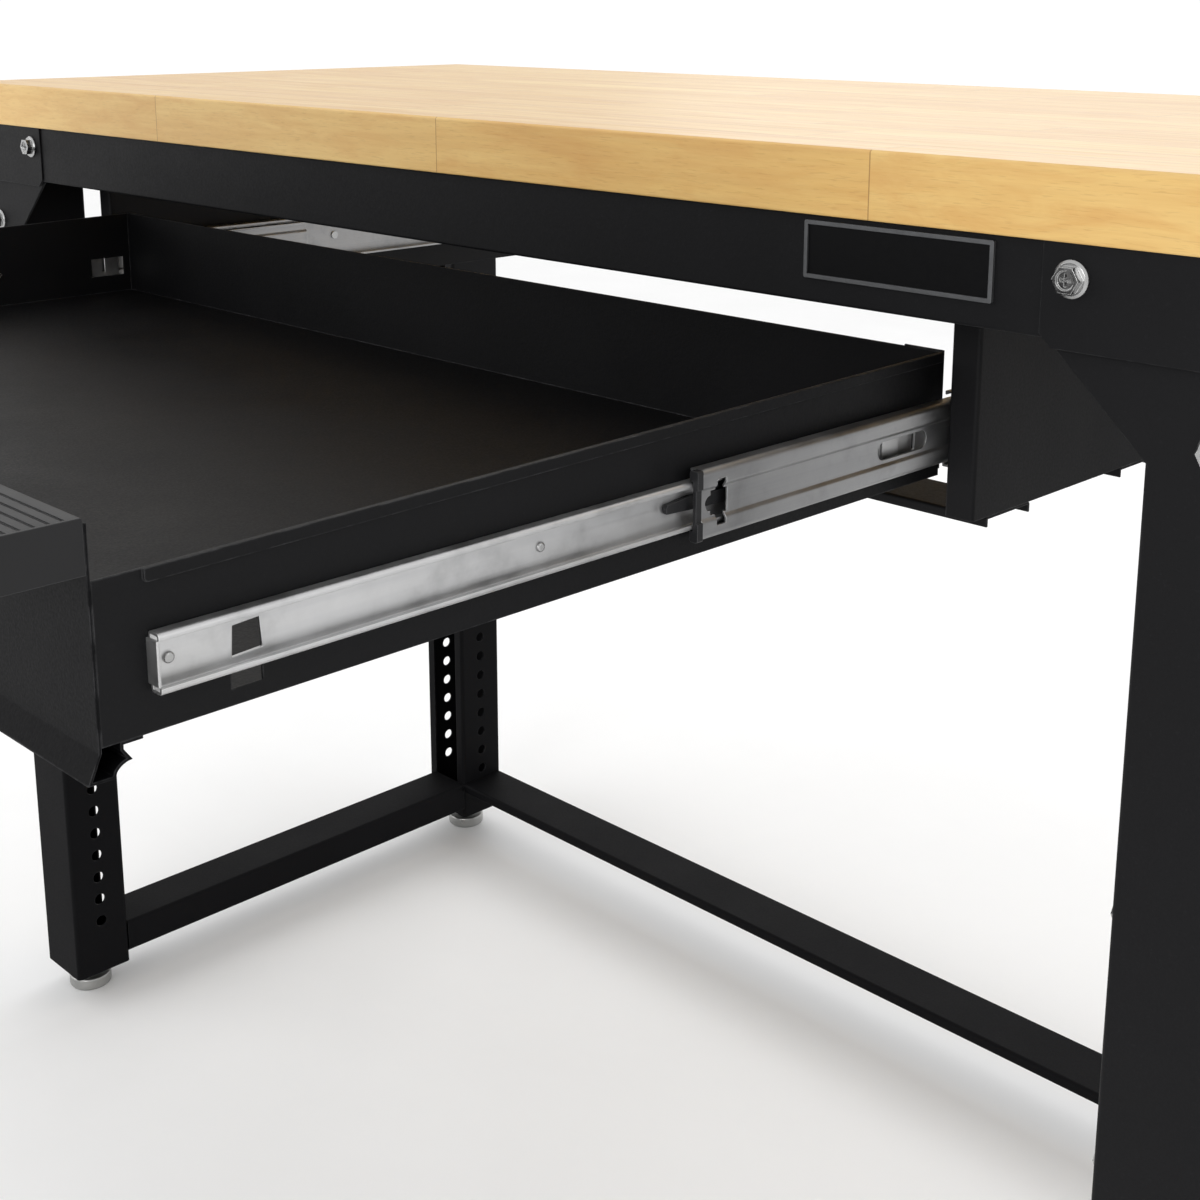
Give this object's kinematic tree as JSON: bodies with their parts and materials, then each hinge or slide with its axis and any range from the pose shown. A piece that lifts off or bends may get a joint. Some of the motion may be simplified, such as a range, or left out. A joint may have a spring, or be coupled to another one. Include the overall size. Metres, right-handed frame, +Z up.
{
  "type": "height adjustable desk with keyboard drawer",
  "caption": "Desk with a butcher-block top on telescoping black steel legs, low stretchers, and a wide shallow keyboard drawer that runs out on ball-bearing slides",
  "frame": {"origin": "on the floor, at the middle of the footprint that the desk and its open drawer cover", "axes": "+X to the right along the desk, +Y from the front to the back, +Z up; the drawer pulls out towards -Y"},
  "size_m": [1.321, 1.1262, 0.971],
  "materials": {
    "frame_black": "fine-textured black powder coat",
    "drawer_black": "fine-textured black powder coat",
    "ledge_black": "satin black, ribbed along its length",
    "butcher_block": "clear satin varnish over finger-jointed rubberwood",
    "slide_zinc": "bright zinc plate, drawn lengthwise",
    "fastener_zinc": "bright zinc plate",
    "foot_zinc": "zinc plate, lightly worn",
    "plastic_black": "black moulded plastic",
    "plate_black": "dark satin plate with a bare raised rim"
  },
  "bodies": {
    "base": {"lower_leg_front_left": "frame_black", "lower_leg_front_right": "frame_black", "lower_leg_rear_left": "frame_black", "lower_leg_rear_right": "frame_black", "side_stretcher_left": "frame_black", "side_stretcher_right": "frame_black", "rear_stretcher": "frame_black", "foot_nuts": "foot_zinc"},
    "upper_frame": {"upper_post_front_left": "frame_black", "upper_post_front_right": "frame_black", "upper_post_rear_left": "frame_black", "upper_post_rear_right": "frame_black", "front_apron": "frame_black", "rear_apron": "frame_black", "side_apron_left": "frame_black", "side_apron_right": "frame_black", "corner_plate_front_left": "frame_black", "corner_plate_front_right": "frame_black", "corner_plate_rear_left": "frame_black", "corner_plate_rear_right": "frame_black", "drawer_hanger_left": "frame_black", "drawer_hanger_right": "frame_black", "cross_rail_front": "frame_black", "cross_rail_rear": "frame_black", "height_nuts": "frame_black", "height_bolts": "fastener_zinc", "apron_bolts": "fastener_zinc", "apron_nuts": "fastener_zinc", "post_bolts": "fastener_zinc", "top_screws": "fastener_zinc", "name_plate": "plate_black", "tabletop": "butcher_block", "slide_screws_hanger": "fastener_zinc", "slide_cabinet_member_left": "slide_zinc", "slide_cabinet_member_right": "slide_zinc"},
    "drawer": {"drawer_tray": "drawer_black", "drawer_front": "drawer_black", "drawer_ledge": "ledge_black", "ledge_cap_left": "ledge_black", "ledge_cap_right": "ledge_black", "slide_screws_drawer": "fastener_zinc", "slide_drawer_member_left": "slide_zinc", "slide_drawer_member_right": "slide_zinc"},
    "intermediate_left": {"slide_intermediate_left": "slide_zinc", "slide_bumper_left": "plastic_black"},
    "cage_outer_left": {"ball_cage_outer_left": "slide_zinc"},
    "cage_inner_left": {"ball_cage_inner_left": "slide_zinc"},
    "lever_left": {"release_lever_left": "plastic_black"},
    "intermediate_right": {"slide_intermediate_right": "slide_zinc", "slide_bumper_right": "plastic_black"},
    "cage_outer_right": {"ball_cage_outer_right": "slide_zinc"},
    "cage_inner_right": {"ball_cage_inner_right": "slide_zinc"},
    "lever_right": {"release_lever_right": "plastic_black"},
    "foot_front_left": {"levelling_foot_front_left": "foot_zinc"},
    "foot_front_right": {"levelling_foot_front_right": "foot_zinc"},
    "foot_rear_left": {"levelling_foot_rear_left": "foot_zinc"},
    "foot_rear_right": {"levelling_foot_rear_right": "foot_zinc"}
  },
  "joints": [
    {"name": "height_adjust", "type": "slide", "parent": "base", "child": "upper_frame", "axis": [0, 0, 1], "range_m": [-0.254, 0.1016]},
    {"name": "drawer_slide", "type": "slide", "parent": "upper_frame", "child": "drawer", "axis": [0, 1, 0], "range_m": [0, 0.508]},
    {"name": "intermediate_left_run", "type": "slide", "parent": "upper_frame", "child": "intermediate_left", "axis": [0, 1, 0], "range_m": [0, 0.2139]},
    {"name": "cage_outer_left_run", "type": "slide", "parent": "upper_frame", "child": "cage_outer_left", "axis": [0, 1, 0], "range_m": [0, 0.1072]},
    {"name": "cage_inner_left_run", "type": "slide", "parent": "upper_frame", "child": "cage_inner_left", "axis": [0, 1, 0], "range_m": [0, 0.3612]},
    {"name": "lever_left_press", "type": "hinge", "parent": "drawer", "child": "lever_left", "pos_m": [-0.5094, -0.1701, 0.8045], "axis": [1, 0, 0], "range_deg": [-6, 6], "stiffness_Nm_per_rad": 0.05},
    {"name": "intermediate_right_run", "type": "slide", "parent": "upper_frame", "child": "intermediate_right", "axis": [0, 1, 0], "range_m": [0, 0.2139]},
    {"name": "cage_outer_right_run", "type": "slide", "parent": "upper_frame", "child": "cage_outer_right", "axis": [0, 1, 0], "range_m": [0, 0.1072]},
    {"name": "cage_inner_right_run", "type": "slide", "parent": "upper_frame", "child": "cage_inner_right", "axis": [0, 1, 0], "range_m": [0, 0.3612]},
    {"name": "lever_right_press", "type": "hinge", "parent": "drawer", "child": "lever_right", "pos_m": [0.4224, -0.1701, 0.8045], "axis": [1, 0, 0], "range_deg": [-6, 6], "stiffness_Nm_per_rad": 0.05},
    {"name": "foot_front_left_screw", "type": "slide", "parent": "base", "child": "foot_front_left", "axis": [0, 0, 1], "range_m": [-0.02, 0]},
    {"name": "foot_front_right_screw", "type": "slide", "parent": "base", "child": "foot_front_right", "axis": [0, 0, 1], "range_m": [-0.02, 0]},
    {"name": "foot_rear_left_screw", "type": "slide", "parent": "base", "child": "foot_rear_left", "axis": [0, 0, 1], "range_m": [-0.02, 0]},
    {"name": "foot_rear_right_screw", "type": "slide", "parent": "base", "child": "foot_rear_right", "axis": [0, 0, 1], "range_m": [-0.02, 0]}
  ],
  "couplings": [
    {"joint": "intermediate_left_run", "follows": "drawer_slide", "ratio": 0.42},
    {"joint": "cage_outer_left_run", "follows": "drawer_slide", "ratio": 0.21},
    {"joint": "cage_inner_left_run", "follows": "drawer_slide", "ratio": 0.71},
    {"joint": "intermediate_right_run", "follows": "drawer_slide", "ratio": 0.42},
    {"joint": "cage_outer_right_run", "follows": "drawer_slide", "ratio": 0.21},
    {"joint": "cage_inner_right_run", "follows": "drawer_slide", "ratio": 0.71}
  ]
}
